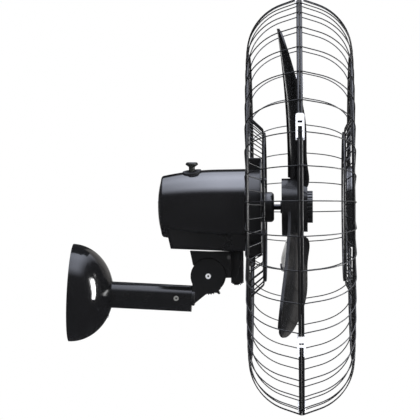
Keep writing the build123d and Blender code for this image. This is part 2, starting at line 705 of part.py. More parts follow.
# ---- gearbox ---------------------------------------------------------------------------
def worm():
    return along("X", WORM_R, WORM_X[0], WORM_X[1], WORM_SHAFT_R)


def worm_wheel():
    wheel = toothed(WHEEL_R, TOOTH_DEPTH, WHEEL_TEETH, -WHEEL_T / 2, WHEEL_T / 2)
    return at_knob(wheel - along("Z", CLUTCH_SHAFT_R, -WHEEL_T, WHEEL_T))


def at_knob(shape):
    return Pos(KNOB_X, KNOB_Y, 0) * shape


def at_output(shape):
    return Pos(KNOB_X, OUTPUT_Y, 0) * shape


def clutch_shaft():
    return at_knob(along("Z", CLUTCH_SHAFT_R, CASE_BOTTOM_Z, CASE_TOP_Z - CASE_WALL - 0.3))


def gear_level():
    low = CASE_BOTTOM_Z + CASE_WALL + 0.8
    return low, low + GEAR_T


def pinion():
    low, high = gear_level()
    wheel = toothed(PINION_R, TOOTH_DEPTH / 2, PINION_TEETH, low, high)
    return at_knob(wheel - along("Z", CLUTCH_SHAFT_R, low - 1, high + 1))


def output_gear():
    low, high = gear_level()
    wheel = toothed(OUTPUT_GEAR_R, TOOTH_DEPTH, OUTPUT_GEAR_TEETH, low, high)
    return at_output(wheel - along("Z", OUTPUT_SHAFT_R, low - 1, high + 1))


def output_shaft():
    low, high = gear_level()
    return at_output(along("Z", OUTPUT_SHAFT_R, CASE_BOTTOM_Z - CRANK_DROP - CRANK_T, high))


def crank():
    low = CASE_BOTTOM_Z - CRANK_DROP - CRANK_T
    arm = along("Z", OUTPUT_SHAFT_R + 3, low, low + CRANK_T, OUTPUT_SHAFT_R)
    end = Pos(0, CRANK_R, 0) * along("Z", CRANK_PIN_R + 2.5, low, low + CRANK_T)
    bar = block((-5, 5), (OUTPUT_SHAFT_R, CRANK_R), (low, low + CRANK_T))
    bar -= along("Z", OUTPUT_SHAFT_R, low - 1, low + CRANK_T + 1)
    pin = Pos(0, CRANK_R, 0) * along("Z", CRANK_PIN_R, low - CRANK_PIN_LENGTH, low)
    return at_output(arm + end + bar + pin)


def gearbox_case():
    """The box on the rear shield that holds the worm wheel, the clutch shaft and the crank."""
    half = CASE_HALF_WIDTH
    box = block((CASE_REAR_X, SHIELD_REAR_X), (-half, half), (CASE_BOTTOM_Z, CASE_TOP_Z))
    box -= block((CASE_REAR_X + CASE_WALL, SHIELD_REAR_X + 1), (-half + CASE_WALL, half - CASE_WALL),
                 (CASE_BOTTOM_Z + CASE_WALL, CASE_TOP_Z - CASE_WALL))
    box -= along("X", WORM_SHAFT_R + RUNNING_GAP, CASE_REAR_X - 1, CASE_REAR_X + CASE_WALL + 1)
    box -= at_knob(along("Z", CLUTCH_SHAFT_R + RUNNING_GAP, CASE_BOTTOM_Z - 1, CASE_TOP_Z - CASE_WALL))
    box -= at_knob(along("Z", KNOB_ROD_R + RUNNING_GAP, CASE_TOP_Z - CASE_WALL - 1, CASE_TOP_Z + 1))
    floor = (CASE_BOTTOM_Z - 1, CASE_BOTTOM_Z + CASE_WALL + 1)
    box -= at_output(along("Z", OUTPUT_SHAFT_R + RUNNING_GAP, *floor))
    post = along("X", COVER_POST_R, COVER_REAR_X, CASE_REAR_X)
    post -= along("X", COVER_SCREW_R, COVER_REAR_X, CASE_REAR_X)
    inside = cover_solid(COVER_WALL)
    for y in (-COVER_SCREW_Y, COVER_SCREW_Y):
        box += (Pos(0, y, COVER_SCREW_Z) * post) & inside
    return box


def capacitor():
    length, width, height = CAPACITOR_SIZE
    low = CASE_REAR_X + 1.0
    box = block((low, low + length), (CASE_HALF_WIDTH, CASE_HALF_WIDTH + width), (-height / 2, height / 2))
    return fillet(box.edges().filter_by(Axis.X), 2.0)


# ---- covers ----------------------------------------------------------------------------
def cover_face(inset):
    """Half of the motor cover's outline, drawn inwards by the wall where inset isn't 0."""
    rear = COVER_REAR_X + inset
    corner_x = COVER_CORNER_X + inset
    corner_r = COVER_CORNER_R - inset
    path = ThreePointArc((rear, 0), (rear + 1.3, corner_r * 0.55), (corner_x, corner_r))
    shoulder = (COVER_SHOULDER_X, COVER_SHOULDER_R - inset)
    crown = ((corner_x + COVER_SHOULDER_X) / 2, (corner_r + shoulder[1]) / 2 + COVER_BULGE)
    path += ThreePointArc((corner_x, corner_r), crown, shoulder)
    path += Line(shoulder, (COVER_FRONT_X, COVER_FRONT_R - inset))
    path += Line((COVER_FRONT_X, COVER_FRONT_R - inset), (COVER_FRONT_X, 0))
    path += Line((COVER_FRONT_X, 0), (rear, 0))
    face = make_face(path)
    corner = face.vertices().sort_by_distance((corner_x, corner_r))[0]
    return Plane.XZ * fillet(corner, COVER_EDGE_FILLET - inset)


def cover_solid(inset=0.0):
    """The cover's outer form; its middle line lies a little over the shaft's."""
    return Pos(0, 0, COVER_LIFT) * revolve(cover_face(inset), Axis.X)


def motor_cover():
    shell = cover_solid() - cover_solid(COVER_WALL)
    shell -= Pos(0, 0, COVER_LIFT) * along("X", COVER_FRONT_R - COVER_WALL, COVER_FRONT_X - 1, COVER_FRONT_X + 1)
    room = SKIRT_HALF_WIDTH - 2 * SKIRT_WALL
    shell -= block((SKIRT_REAR_FOOT[0] + SKIRT_WALL, 0), (-room, room), (-FAR, -25))
    shell -= at_knob(along("Z", KNOB_STEM_R + COLLAR_BORE_GAP, 30, 80))
    for screw in cover_screws():
        shell -= screw
    return shell


def cover_screws():
    head_front = COVER_REAR_X + COVER_SCREW_SEAT
    screw = along("X", COVER_SCREW_R, head_front, CASE_REAR_X - 8)
    screw += along("X", COVER_SCREW_HEAD_R, head_front - COVER_SCREW_HEAD_T, head_front)
    return [Pos(0, y, COVER_SCREW_Z) * screw for y in (-COVER_SCREW_Y, COVER_SCREW_Y)]


def skirt_solid(inset=0.0):
    top = -COVER_CORNER_R / 3
    foot_x = SKIRT_REAR_FOOT[0] + inset
    outline = [(SKIRT_REAR_TOP[0] + inset, top), (SKIRT_REAR_TOP[0] + inset, SKIRT_REAR_TOP[1]),
               (foot_x, SKIRT_REAR_FOOT[1] + inset), (COVER_FRONT_X, SKIRT_FRONT_Z + inset),
               (COVER_FRONT_X, top)]
    body = side_plate(outline, SKIRT_HALF_WIDTH - inset)
    low_edges = [edge for edge in body.edges() if edge.center().Z < -40 and abs(edge.center().Y) > 5]
    return fillet(low_edges, SKIRT_EDGE_FILLET - inset)


def lower_cover():
    body = skirt_solid() - skirt_solid(SKIRT_WALL)
    body -= cover_solid()
    body -= at_pan(along("Z", SKIRT_OPENING_R, -FAR, 0))
    front_room = SKIRT_HALF_WIDTH - SKIRT_WALL
    body -= block((PAN_X, 0), (-front_room, front_room), (-FAR, 0))
    return max(body.solids(), key=lambda solid: solid.volume)


def knob_collar():
    """The oval rubber saddle on the cover under the knob."""
    oval = Pos(KNOB_X, KNOB_Y, 0) * extrude(Ellipse(COLLAR_HALF_LENGTH, COLLAR_HALF_WIDTH), 80)
    raised = Pos(0, 0, COLLAR_RISE) * cover_solid()
    body = (oval & raised) - cover_solid()
    return body - at_knob(along("Z", KNOB_STEM_R + COLLAR_BORE_GAP, 0, 90))


def knob():
    """The stem with its mushroom cap, domed above its widest ring and a cone below it."""
    widest_z = KNOB_TOP_Z - KNOB_CAP_T
    stem = along("Z", KNOB_STEM_R, KNOB_STEM_FOOT_Z, widest_z)
    cone = Pos(0, 0, widest_z - KNOB_CONE_T / 2) * Cone(KNOB_STEM_R, KNOB_CAP_R, KNOB_CONE_T)
    cap = along("Z", KNOB_CAP_R, widest_z, KNOB_TOP_Z)
    cap = fillet(cap.edges().sort_by(Axis.Z)[-1], KNOB_CAP_T * 0.85)
    return at_knob(stem + cone + cap)


def knob_rod():
    return at_knob(along("Z", KNOB_ROD_R, CASE_TOP_Z - CASE_WALL + 0.2, KNOB_STEM_FOOT_Z))


def mount_drum():
    """The cup on the motor's front, with four lugs that back the cage's disc."""
    low, high = DRUM_REAR_X, drum_front()
    drum = along("X", DRUM_R, low, high, DRUM_R - DRUM_WALL)
    drum += along("X", DRUM_R - DRUM_WALL / 2, SHIELD_FRONT_X, high, SHAFT_R + 8)
    lug = block((low, high), (-DRUM_LUG_HALF_WIDTH, DRUM_LUG_HALF_WIDTH),
                (lug_foot_height(), DRUM_LUG_R))
    for copy in around_x(lug & along("X", DRUM_LUG_R, low, high), DRUM_LUGS):
        drum += copy
    drum += safety_eye()
    hole = Pos(0, 0, DRUM_SCREW_RADIUS) * along("X", DRUM_SCREW_R, SHIELD_FRONT_X - 1, high + 1)
    return cut_all(drum, at_cage_screws(hole))


def safety_eye():
    """A small eye under the lower lug, for a safety cord from the cage."""
    half = EYE_T / 2
    stem = block((EYE_X - EYE_R, EYE_X + EYE_R), (-half, half), (EYE_Z, 1 - DRUM_LUG_R))
    ring = Pos(EYE_X, 0, EYE_Z) * along("Y", EYE_R, -half, half)
    return stem + ring - Pos(EYE_X, 0, EYE_Z) * along("Y", EYE_HOLE_R, -half - 1, half + 1)


def lug_foot_height():
    """The height at which the lugs' side faces are still inside the drum's wall."""
    return ((DRUM_R - DRUM_WALL / 2) ** 2 - DRUM_LUG_HALF_WIDTH ** 2) ** 0.5


def drum_front():
    return SHIELD_FRONT_X + DRUM_WALL


def at_cage_screws(shape):
    """Copies of a shape at the cage's four screws, a pair at the top and a pair below."""
    turns = (DRUM_SCREW_ANGLE, -DRUM_SCREW_ANGLE, 180 - DRUM_SCREW_ANGLE, 180 + DRUM_SCREW_ANGLE)
    return [Rot(turn, 0, 0) * shape for turn in turns]


def cage_screws():
    head_low = drum_front() + REAR_DISC_T
    screw = along("X", DRUM_SCREW_R, SHIELD_FRONT_X - 8, head_low)
    screw += along("X", DRUM_SCREW_HEAD_R, head_low, head_low + DRUM_SCREW_HEAD_T)
    return at_cage_screws(Pos(0, 0, DRUM_SCREW_RADIUS) * screw)


def nose():
    low = drum_front()
    cap = along("X", NOSE_R, low, NOSE_FRONT_X)
    cap = fillet(cap.edges().filter_by(GeomType.CIRCLE).sort_by(Axis.X)[-1], NOSE_FILLET)
    cap -= along("X", NOSE_R - NOSE_WALL, low - 1, NOSE_FRONT_X - NOSE_FILLET)
    return cap - along("X", SHAFT_R + NOSE_SHAFT_GAP, low, NOSE_FRONT_X + 1)


# ---- cage ------------------------------------------------------------------------------
def cage_wire(side, recess_x, end_r):
    """One radial wire of a cage half; side is -1 for the rear half and 1 for the front."""
    slope = tan(radians(CAGE_SLOPE))
    flat_x = side * (CAGE_HALF_DEPTH - WIRE_R)
    rim_r = CAGE_R - WIRE_R
    lip = side * (WIRE_R / 2)
    recess = recess_x - side * WIRE_R
    points = [(recess, 0, end_r), (recess, 0, RECESS_R), (flat_x, 0, CAGE_FLAT_INNER_R),
              (flat_x, 0, rim_r - abs(flat_x) * slope), (lip, 0, rim_r - abs(lip) * slope)]
    path = FilletPolyline(*points, radius=[WIRE_BEND_R, WIRE_BEND_R, CAGE_SHOULDER_R])
    section = Plane(origin=path @ 0, z_dir=path % 0) * Circle(WIRE_R)
    return sweep(section, path=path)


def cage_wires(side, recess_x, end_r):
    return around_x(cage_wire(side, recess_x, end_r), WIRE_COUNT, 90 + WIRE_PHASE)


def torus(radius, wire_r, x):
    return Pos(x, 0, 0) * Rot(0, 90, 0) * Torus(radius, wire_r)


def rim_ring_radius():
    slope = radians(CAGE_SLOPE)
    wire_r = CAGE_R - WIRE_R - RIM_OFFSET * tan(slope)
    return wire_r - (WIRE_R + RIM_WIRE_R) / cos(slope)


def cage_rings(side, recess_x):
    """The round wires inside a cage half: its rim, the flat's rings and the recess ring."""
    rings = [torus(rim_ring_radius(), RIM_WIRE_R, side * RIM_OFFSET)]
    flat_x = side * (CAGE_HALF_DEPTH - 2 * WIRE_R - RING_WIRE_R)
    rings += [torus(radius, RING_WIRE_R, flat_x) for radius in FLAT_RINGS]
    recess = recess_x - side * (2 * WIRE_R + RING_WIRE_R)
    rings.append(torus(RECESS_R - 4 * RING_WIRE_R, RING_WIRE_R, recess))
    return rings


def rear_disc():
    """The sheet disc in the rear half's middle, screwed to the drum."""
    low = drum_front()
    disc = along("X", REAR_DISC_R[1], low, low + REAR_DISC_T, REAR_DISC_R[0])
    hole = Pos(0, 0, DRUM_SCREW_RADIUS) * along("X", DRUM_SCREW_R, low - 1, low + REAR_DISC_T + 1)
    return cut_all(disc, at_cage_screws(hole))


def front_plate():
    high = FRONT_RECESS_X - 2 * WIRE_R
    return along("X", FRONT_PLATE_R, high - FRONT_PLATE_T, high)


def front_disc():
    """The plain cap over the front half's middle."""
    low = FRONT_RECESS_X
    cap = along("X", FRONT_DISC_R, low, FRONT_DISC_X)
    cap = fillet(cap.edges().filter_by(GeomType.CIRCLE).sort_by(Axis.X)[-1], FRONT_DISC_FILLET)
    inner_r = FRONT_DISC_R - FRONT_DISC_WALL
    return cap - along("X", inner_r, low - 1, FRONT_DISC_X - FRONT_DISC_WALL)


def rim_clips():
    """Snap clips over both rims, between the radial wires."""
    ring_r = rim_ring_radius()
    room = (ring_r - RIM_WIRE_R - CLIP_RING_GAP, ring_r + RIM_WIRE_R + CLIP_RING_GAP)
    face_r = room[1] + CLIP_WALL
    clip = block((-CLIP_HALF_WIDTH, CLIP_HALF_WIDTH), (-CLIP_LENGTH / 2, CLIP_LENGTH / 2),
                 (ring_r - CLIP_REACH, face_r))
    top = clip.edges().filter_by(Axis.Z).group_by(Axis.Y)[-1]
    clip = fillet(top, CLIP_CORNER_R)
    half = RIM_OFFSET + RIM_WIRE_R + CLIP_RING_GAP
    clip -= along("X", room[1], -half, half, room[0])
    slot_y = (CLIP_SLOT_Y, CLIP_SLOT_Y + CLIP_SLOT_HEIGHT)
    clip -= block((-CLIP_SLOT_HALF_WIDTH, CLIP_SLOT_HALF_WIDTH), slot_y, (ring_r, face_r + 1))
    fork_y = (-CLIP_LENGTH, CLIP_SLOT_Y - CLIP_BAR_HEIGHT)
    clip -= block((-CLIP_FORK_HALF_WIDTH, CLIP_FORK_HALF_WIDTH), fork_y, (ring_r, face_r + 1))
    clip -= block((-half + 1, half - 1), (-CLIP_LENGTH, CLIP_LENGTH), (0, ring_r))
    clips = around_x(Rot(90, 0, 0) * clip, CLIP_COUNT, CLIP_PHASE)
    return [cut_all(one, wires_near(one)) for one in clips]


def wires_near(clip):
    """Room for the radial wires that cross a clip."""
    slope = tan(radians(CAGE_SLOPE))
    reach = 4 * CLIP_HALF_WIDTH
    room = []
    for side in (-1, 1):
        line = Line((0, 0, CAGE_R - WIRE_R), (side * reach, 0, CAGE_R - WIRE_R - reach * slope))
        bar = sweep(Plane(origin=line @ 0, z_dir=line % 0) * Circle(WIRE_R + CLIP_WIRE_GAP), path=line)
        room += around_x(bar, WIRE_COUNT, 90 + WIRE_PHASE)
    middle = clip.center()
    return [bar for bar in room if (bar.center() - middle).length < CLIP_LENGTH]


# ---- blades ----------------------------------------------------------------------------
def blade_station(radius):
    """Chord, pitch angle and middle of a blade section at a radius."""
    share = max((radius - HUB_R) / (BLADE_TIP_R - HUB_R), 0.0)
    chord = BLADE_ROOT_CHORD + 4 * (BLADE_CHORD - BLADE_ROOT_CHORD) * share * (1 - share)
    depth = BLADE_ROOT_DEPTH - 5.2 * share
    if share > 0.5:
        chord = BLADE_CHORD * (1 - (2 * share - 1) ** 2) ** 0.5
        depth = chord * (BLADE_TIP_SLOPE - BLADE_SLOPE_FALL * (share - 0.5))
    rear_x = BLADE_REAR_X - BLADE_RAKE * share ** 1.6 + 9.5 * share
    middle = (rear_x + depth / 2, BLADE_SWEEP * share ** 2)
    return chord, degrees(atan(depth / chord)), middle


def blade_section(radius):
    """The front two thirds curve, the rear third is flat and ends in a small lip."""
    chord, pitch, middle = blade_station(radius)
    half = chord / 2
    bend = (half / 3, BLADE_CAMBER * chord)
    lip = min(BLADE_LIP, chord / 6)
    flat = (bend[0] - half, bend[1])
    foot = (half - lip, BLADE_CAMBER * chord * 1.5 * lip / half)
    outer = Line((half, lip), foot_top(half, lip)) + Line(foot_top(half, lip), foot) + Line(foot, bend)
    outer += TangentArc(bend, (-half, 0), tangent=flat)
    low_bend = (bend[0], bend[1] - BLADE_T)
    inner = Line((half, -BLADE_T), low_bend) + TangentArc(low_bend, (-half, -BLADE_T), tangent=flat)
    sides = Line((half, lip), (half, -BLADE_T)) + Line((-half, -BLADE_T), (-half, 0))
    face = make_face(outer + inner + sides)
    plane = Plane(origin=(middle[0], middle[1], radius), x_dir=(0, 1, 0), z_dir=(0, 0, 1))
    return plane * (Rot(0, 0, pitch) * face)


def foot_top(half, lip):
    return (half - lip, lip)


def blade():
    span = BLADE_TIP_R - HUB_R
    radii = [HUB_R - 4] + [HUB_R + span * share for share in (0.12, 0.3, 0.5, 0.65, 0.8, 0.9, 0.96, 0.99)]
    return loft([blade_section(radius) for radius in radii])


def blade_set():
    """Hub and three blades, moulded in one piece."""
    hub = along("X", HUB_R, HUB_REAR_X, HUB_STEP_X)
    hub += along("X", HUB_STEP_R, HUB_STEP_X, HUB_FRONT_X)
    inner_x = HUB_FRONT_X - HUB_WALL
    hub -= along("X", HUB_STEP_R - HUB_WALL, HUB_REAR_X - 1, inner_x)
    hub += along("X", HUB_BOSS_R, HUB_REAR_X - 2, HUB_FRONT_X)
    rib = block((HUB_REAR_X + 4, inner_x + 1), (-HUB_RIB_T / 2, HUB_RIB_T / 2),
                (HUB_BOSS_R - 1, HUB_STEP_R - HUB_WALL + 1))
    for copy in around_x(rib, HUB_RIBS, 30):
        hub += copy
    one = blade() - along("X", HUB_R - 1, -FAR, FAR)
    for copy in around_x(one, BLADES, BLADE_PHASE):
        hub += copy
    hub -= along("X", SHAFT_R, HUB_REAR_X - 4, HUB_FRONT_X + 1)
    return hub - hub_pin()


def hub_pin():
    x = HUB_REAR_X - 2 + HUB_PIN_R + 1
    return Pos(x, 0, 0) * along("Y", HUB_PIN_R, -HUB_PIN_LENGTH / 2, HUB_PIN_LENGTH / 2)


def spinner_nut():
    wheel = toothed(NUT_R, NUT_RIB_DEPTH, NUT_RIBS, HUB_FRONT_X, NUT_FRONT_X)
    wheel = Rot(0, 90, 0) * wheel
    return wheel - along("X", SHAFT_R, HUB_FRONT_X - 1, SHAFT_FRONT_X)


# ---- the whole fan ---------------------------------------------------------------------
bearing_inner, bearing_outer, bearing_balls = bearing_parts()
WALL_NODES = {
    "wall_bracket": wall_bracket(),
    "terminal_block": terminal_block(),
    "terminal_screws": terminal_screws(),
    "arm_tube": arm_tube(),
    "canopy": canopy(),
    "canopy_screw": canopy_screw(),
    "elbow": elbow(),
    "arm_screws": arm_screws(),
    "tilt_bolt": tilt_bolt(),
    "tilt_washer": tilt_washer(),
    "tilt_nut": tilt_nut(),
}
HEAD_NODES = {
    "neck": neck(),
    "neck_screws": neck_screws(),
    "pan_bush": pan_bush(),
    "pan_washer": pan_washer(),
    "pan_pin": pan_pin(),
    "pan_clip": pan_clip(),
    "link_rod": link_rod(),
    "link_screw": link_screw(),
    "shaft": shaft(),
    "rotor": rotor(),
    "stator_core": stator_core(),
    "stator_winding": stator_winding(),
    "front_shield": front_shield(),
    "rear_shield": rear_shield(),
    "motor_screws": motor_screws(),
    "bearing_inner_rings": bearing_inner,
    "bearing_outer_rings": bearing_outer,
    "bearing_balls": bearing_balls,
    "worm": worm(),
    "worm_wheel": worm_wheel(),
    "clutch_shaft": clutch_shaft(),
    "pinion": pinion(),
    "output_gear": output_gear(),
    "output_shaft": output_shaft(),
    "crank": crank(),
    "gearbox_case": gearbox_case(),
    "capacitor": capacitor(),
    "motor_cover": motor_cover(),
    "cover_screws": cover_screws(),
    "lower_cover": lower_cover(),
    "knob_collar": knob_collar(),
    "knob": knob(),
    "knob_rod": knob_rod(),
    "mount_drum": mount_drum(),
    "cage_screws": cage_screws(),
    "nose": nose(),
    "rear_cage_wires": cage_wires(-1, REAR_RECESS_X, REAR_WIRE_END_R),
    "rear_cage_rings": cage_rings(-1, REAR_RECESS_X),
    "rear_disc": rear_disc(),
    "front_cage_wires": cage_wires(1, FRONT_RECESS_X, FRONT_WIRE_END_R),
    "front_cage_rings": cage_rings(1, FRONT_RECESS_X),
    "front_plate": front_plate(),
    "front_disc": front_disc(),
    "rim_clips": rim_clips(),
    "blade_set": blade_set(),
    "hub_pin": hub_pin(),
    "spinner_nut": spinner_nut(),
}

os.makedirs("parts", exist_ok=True)
for name, made in WALL_NODES.items():
    group = made if isinstance(made, list) else [made]
    solids = [solid for shape in group for solid in shape.solids()]
    export_step(Compound(solids), f"parts/{name}.step")
for name, made in HEAD_NODES.items():
    group = made if isinstance(made, list) else [made]
    solids = [HEAD * solid for shape in group for solid in shape.solids()]
    export_step(Compound(solids), f"parts/{name}.step")
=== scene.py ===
import math

import bpy
from mathutils import Matrix, Vector


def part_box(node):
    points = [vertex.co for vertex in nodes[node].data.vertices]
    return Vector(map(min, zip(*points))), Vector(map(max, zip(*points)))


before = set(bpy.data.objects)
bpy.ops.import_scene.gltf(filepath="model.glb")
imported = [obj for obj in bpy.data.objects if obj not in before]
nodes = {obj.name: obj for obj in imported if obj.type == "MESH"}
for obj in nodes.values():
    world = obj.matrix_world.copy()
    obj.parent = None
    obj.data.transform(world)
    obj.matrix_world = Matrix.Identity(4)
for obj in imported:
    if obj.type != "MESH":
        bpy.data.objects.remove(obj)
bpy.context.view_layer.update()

# ---- the view ---------------------------------------------------------------------------
# The photograph looks along the wall, level with the head and in the plane of the cage's
# rim, from about 3.3 m. The picture is turned a little, so the arm runs down to the right.
eye = Vector((0.325, -3.33, 0.133))
aim = Vector((0.1945, 0.0, 0.1288))
picture_turn = math.radians(2.8)
film_width, focal_length = 36.0, 198.3
ahead = (aim - eye).normalized()
level = ahead.cross(Vector((0, 0, 1))).normalized()
up = level.cross(ahead) * math.cos(picture_turn) - level * math.sin(picture_turn)
camera = bpy.data.objects.new("camera", bpy.data.cameras.new("camera"))
camera.data.sensor_width, camera.data.lens = film_width, focal_length
camera.matrix_world = Matrix((ahead.cross(up), up, -ahead)).transposed().to_4x4()
camera.location = eye
bpy.context.scene.collection.objects.link(camera)
bpy.context.scene.camera = camera
bpy.context.scene.view_settings.view_transform = "Standard"


# ---- the studio -------------------------------------------------------------------------
# The room is white to the camera, with a long bank of soft light over the object and its near
# side dark, which keeps the black paint black. Two strips draw lines in the gloss, and a
# screen beside the camera fills the front without showing in it.
class Flow:
    """An output socket of a node tree; arithmetic on it adds Math nodes."""

    def __init__(self, tree, socket=None):
        self.tree = tree
        self.socket = socket

    def node(self, kind, settings, values, out=0):
        """Adds a node: its settings first, then the value or the link of each socket named."""
        made = self.tree.nodes.new(kind)
        for name, setting in settings.items():
            setattr(made, name, setting)
        for name, value in values.items():
            if isinstance(value, Flow):
                self.tree.links.new(value.socket, made.inputs[name])
            else:
                made.inputs[name].default_value = value
        return Flow(self.tree, made.outputs[out] if len(made.outputs) else None)

    def sum_up(self, operation, left, right):
        return self.node("ShaderNodeMath", {"operation": operation}, {0: left, 1: right})

    def __add__(self, other):
        return self.sum_up("ADD", self, other)

    def __sub__(self, other):
        return self.sum_up("SUBTRACT", self, other)

    def __rsub__(self, other):
        return self.sum_up("SUBTRACT", other, self)

    def __mul__(self, other):
        return self.sum_up("MULTIPLY", self, other)

    __radd__ = __add__

    def between(self, low, high):
        """0 below low, 1 above high, and a soft step from one to the other."""
        return self.node("ShaderNodeMapRange", {"interpolation_type": "SMOOTHSTEP"},
                         {"Value": self, "From Min": low, "From Max": high})

    def mix(self, low, high):
        """The colour low where this is 0 and high where it is 1."""
        low, high = ((*c, 1.0) if isinstance(c, tuple) else c for c in (low, high))
        return self.node("ShaderNodeMix", {"data_type": "RGBA"}, {0: self, 6: low, 7: high}, 2)


world = bpy.data.worlds.new("studio")
bpy.context.scene.world = world
world.use_nodes = True
world.node_tree.nodes.clear()
room = Flow(world.node_tree)
heading = room.node("ShaderNodeTexCoord", {}, {}, "Generated")
east, north, height = (room.node("ShaderNodeSeparateXYZ", {}, {"Vector": heading}, axis) for axis in "XYZ")
# The angle round the object's length: 0 at the camera, 90 degrees overhead, 180 behind.
turn = room.sum_up("ARCTAN2", height, 0.0 - north)


def past(start, end):
    """0 before one angle of the turn, in degrees, and 1 after the other."""
    return turn.between(math.radians(start), math.radians(end))


rear_loss, dark_side, overhead = 0.62, (0.035, 0.035, 0.037), (4.75, 5.0, 5.85)
bank = past(40, 66) * (1.0 - past(128, 141))
bank = bank * (1.0 - past(92, 130) * rear_loss)
bank = bank * (1.0 - east.between(0.25, 0.7)) * east.between(-0.9, 0.2)
# A dim warm grey behind the object gives the dome its sheen along the edge.
unlit, warm_grey, sheen_lean = (0.0, 0.0, 0.0), (0.42, 0.4, 0.385), 0.2
sheen = north.between(0.42, 0.66) * height.between(0.06, 0.2)
sheen = sheen * (east - height * sheen_lean).between(0.0, 0.07)
light = room.node("ShaderNodeMix", {"data_type": "RGBA", "blend_type": "ADD"}, {
    0: 1.0, 6: bank.mix(dark_side, overhead), 7: sheen.mix(unlit, warm_grey)}, 2)
lit = room.node("ShaderNodeBackground", {}, {"Color": light, "Strength": 1.0})
white = room.node("ShaderNodeBackground", {}, {"Color": (1.0, 1.0, 1.0, 1.0), "Strength": 1.0})
# The camera sees the room white, and so does a reflection that goes almost straight on.
rays = ("Is Camera Ray", "Is Transmission Ray", "Is Glossy Ray")
camera_ray, through_ray, glossy_ray = (room.node("ShaderNodeLightPath", {}, {}, ray) for ray in rays)
level_band = 1.0 - room.sum_up("ABSOLUTE", height, 0.0).between(0.05, 0.14)
seen = camera_ray + through_ray + glossy_ray * north.between(0.955, 0.978) * level_band
shown = room.node("ShaderNodeMixShader", {}, {0: seen, 1: lit, 2: white})
room.node("ShaderNodeOutputWorld", {}, {"Surface": shown})


def soft_light(name, place, towards, size, watts, shade, in_gloss=True, in_paint=True, spread=180.0):
    """A flat lamp that the camera doesn't see, and that may be kept out of the gloss or the plain paint."""
    lamp = bpy.data.lights.new(name, "AREA")
    lamp.shape = "RECTANGLE"
    lamp.size, lamp.size_y = size
    lamp.energy = watts
    lamp.color = shade
    lamp.spread = math.radians(spread)
    held = bpy.data.objects.new(name, lamp)
    held.location = place
    held.rotation_euler = (Vector(towards) - Vector(place)).to_track_quat("-Z", "Y").to_euler()
    held.visible_camera = False
    held.visible_glossy = in_gloss
    held.visible_diffuse = in_paint
    bpy.context.scene.collection.objects.link(held)


plain, warm = (1.0, 1.0, 1.0), (1.0, 0.99, 0.98)
soft_light("strip", (1.40, -0.43, 0.30), (0.05, -0.05, 0.0), (0.3, 1.0), 19.0, plain)
soft_light("dome_strip", (0.229, -0.096, 0.037), (0.03, -0.055, 0.0), (0.038, 0.155), 0.4, plain,
           in_paint=False, spread=70.0)
soft_light("screen", (0.5, -3.6, 1.0), (0.25, 0.0, 0.1), (2.2, 2.2), 90.0, warm, in_gloss=False)


def new_material(name):
    """An empty material, and the place of a point on the piece, from which its nodes are added."""
    material = bpy.data.materials.new(name)
    material.use_nodes = True
    material.node_tree.nodes.clear()
    return material, Flow(material.node_tree).node("ShaderNodeTexCoord", {}, {}, "Object")


def surface(start, values):
    """The last nodes of a material: its shader with these values, and the output."""
    shader = start.node("ShaderNodeBsdfPrincipled", {}, values)
    start.node("ShaderNodeOutputMaterial", {}, {"Surface": shader})


def stage_sheet(name, outline, height, scale, shades, roughness, gloss):
    """A level sheet of the studio, in a plain material that is clouded from one shade to another."""
    sheet = bpy.data.objects.new(name, bpy.data.meshes.new(name))
    sheet.data.from_pydata([(x, y, height) for x, y in outline], [], [range(len(outline))])
    bpy.context.scene.collection.objects.link(sheet)
    material, place = new_material(name + "_material")
    cloud = place.node("ShaderNodeTexNoise", {}, {"Vector": place, "Scale": scale})
    surface(place, {"Base Color": cloud.mix(*shades), "Roughness": roughness, "Specular IOR Level": gloss})
    sheet.data.materials.append(material)
    return sheet


# A plain pale floor, a metre below the object and out of the picture.
reach, floor_height = 4.0, -1.1
floor_outline = [(-reach, -reach), (reach, -reach), (reach, reach), (-reach, reach)]
pale = ((0.86, 0.86, 0.86), (0.9, 0.9, 0.9))
floor = stage_sheet("floor", floor_outline, floor_height, 1.5, pale, 0.8, 0.2)
floor.visible_glossy = False

# A black flag over the arm and the dome keeps the far part of the overhead light out of their gloss.
flag_height = 0.25
flag_outline = [(-0.3, 0.02), (0.065, 0.03), (0.085, 0.065), (0.12, 0.065), (0.12, 0.2), (-0.3, 0.2)]
felt = ((0.002, 0.002, 0.002), (0.004, 0.004, 0.004))
flag = stage_sheet("flag", flag_outline, flag_height, 300.0, felt, 1.0, 0.0)
flag.visible_camera = flag.visible_diffuse = flag.visible_transmission = flag.visible_shadow = False


# ---- wall bracket and terminal block ----------------------------------------------------
# A pressed steel plate with a short welded socket for the arm, powder coated satin black.
# Four screws go through it into the wall, and the supply is joined in a nylon block on it.
def dress(material, *names):
    """Gives every material slot of these pieces the material."""
    for name in names:
        for held in nodes[name].material_slots:
            held.material = material


def times(factor, shade):
    """A shade made lighter or darker."""
    return tuple(factor * c for c in shade)


def rounded(start, radius):
    """The normal of a surface whose sharp edges are rounded by a radius, for the light on them."""
    return start.node("ShaderNodeBevel", {"samples": 4}, {"Radius": radius})


def rubbed_and_highlit_edges(place, radius):
    """1 on sharp edges and 0 on plain faces, broken up as rubbed paint is; the lighter colour it gives the
    edges is partly rubbed paint and partly a painted highlight.
    """
    flat = place.node("ShaderNodeNewGeometry", {}, {}, "Normal")
    same = place.node("ShaderNodeVectorMath", {"operation": "DOT_PRODUCT"}, {
        0: rounded(place, radius), 1: flat}, "Value")
    rub = place.node("ShaderNodeTexNoise", {}, {"Vector": place, "Scale": 210.0, "Detail": 3.0})
    return (1.0 - same).between(0.02, 0.2) * rub.between(0.35, 0.65)


